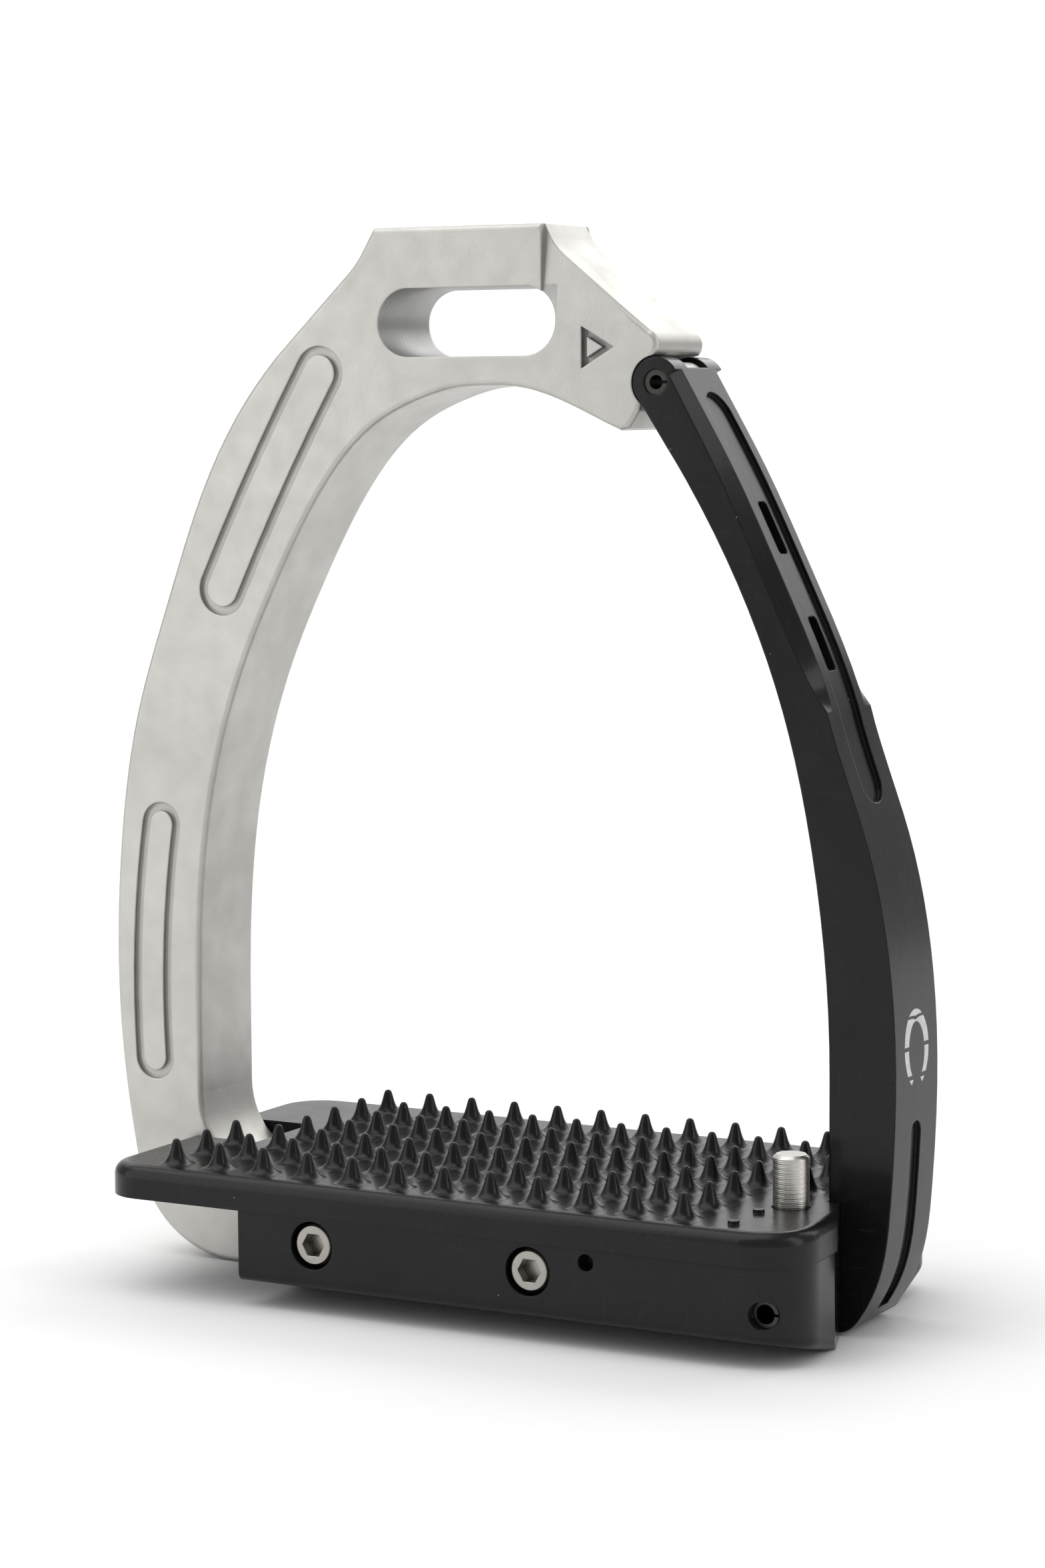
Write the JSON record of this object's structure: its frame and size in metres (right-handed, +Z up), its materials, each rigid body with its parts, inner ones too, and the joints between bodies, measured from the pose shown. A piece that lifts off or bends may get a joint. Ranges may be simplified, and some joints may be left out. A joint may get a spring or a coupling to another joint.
{
  "type": "stirrup iron",
  "caption": "Safety stirrup iron: aluminium side branch with leather slot, black studded tread on a housing, and a hinged outer arm that a foot-pressed latch holds.",
  "frame": {"origin": "on the flat underside, below the middle of the foot opening and halfway through the depth of the side branches", "axes": "+Z up towards the leather slot, +X towards the rider's outer side (the opening arm), -Y towards the toe"},
  "size_m": [0.1426, 0.0643, 0.1709],
  "materials": {
    "cast_aluminium": "bead-blasted satin",
    "black_paint": "black enamel on aluminium, gloss",
    "bright_steel": "bright stainless",
    "dark_steel": "blackened",
    "bronze": "sintered",
    "magnet_nickel": "nickel",
    "black_rubber": "matt",
    "black_nylon": "matt"
  },
  "bodies": {
    "base": {"frame": "cast_aluminium", "tread_plate": "black_paint", "base_housing": "black_paint", "clamp_screws": "bright_steel", "plate_screws": "dark_steel", "hinge_bush": "bronze", "closing_magnet": "magnet_nickel", "plunger_guide": "bronze", "plunger_seal": "black_rubber", "lever_pin": "dark_steel", "lever_spacers": "black_nylon", "latch_spring": "bright_steel", "keeper_pin": "dark_steel"},
    "arm": {"release_arm": "black_paint", "arm_liner": "black_rubber", "hinge_pin": "dark_steel", "hinge_washers": "black_nylon", "striker_plate": "bright_steel", "striker_screws": "bright_steel"},
    "plunger": {"plunger": "bright_steel"},
    "latch": {"latch_lever": "bright_steel"}
  },
  "joints": [
    {"name": "arm_hinge", "type": "hinge", "parent": "base", "child": "arm", "pos_m": [0.028, 0, 0.1461], "axis": [0, -1, 0], "range_deg": [0, 80]},
    {"name": "plunger_slide", "type": "slide", "parent": "base", "child": "plunger", "axis": [0, 0, -1], "range_m": [0, 0.0024], "stiffness_N_per_m": 1500, "springref_m": -0.002},
    {"name": "latch_turn", "type": "hinge", "parent": "base", "child": "latch", "pos_m": [0.0289, 0, 0.0136], "axis": [0, 1, 0], "range_deg": [0, 5.51], "deforming": ["latch_spring"]}
  ],
  "couplings": [
    {"joint": "latch_turn", "follows": "plunger_slide", "rad_per_m": 40}
  ]
}
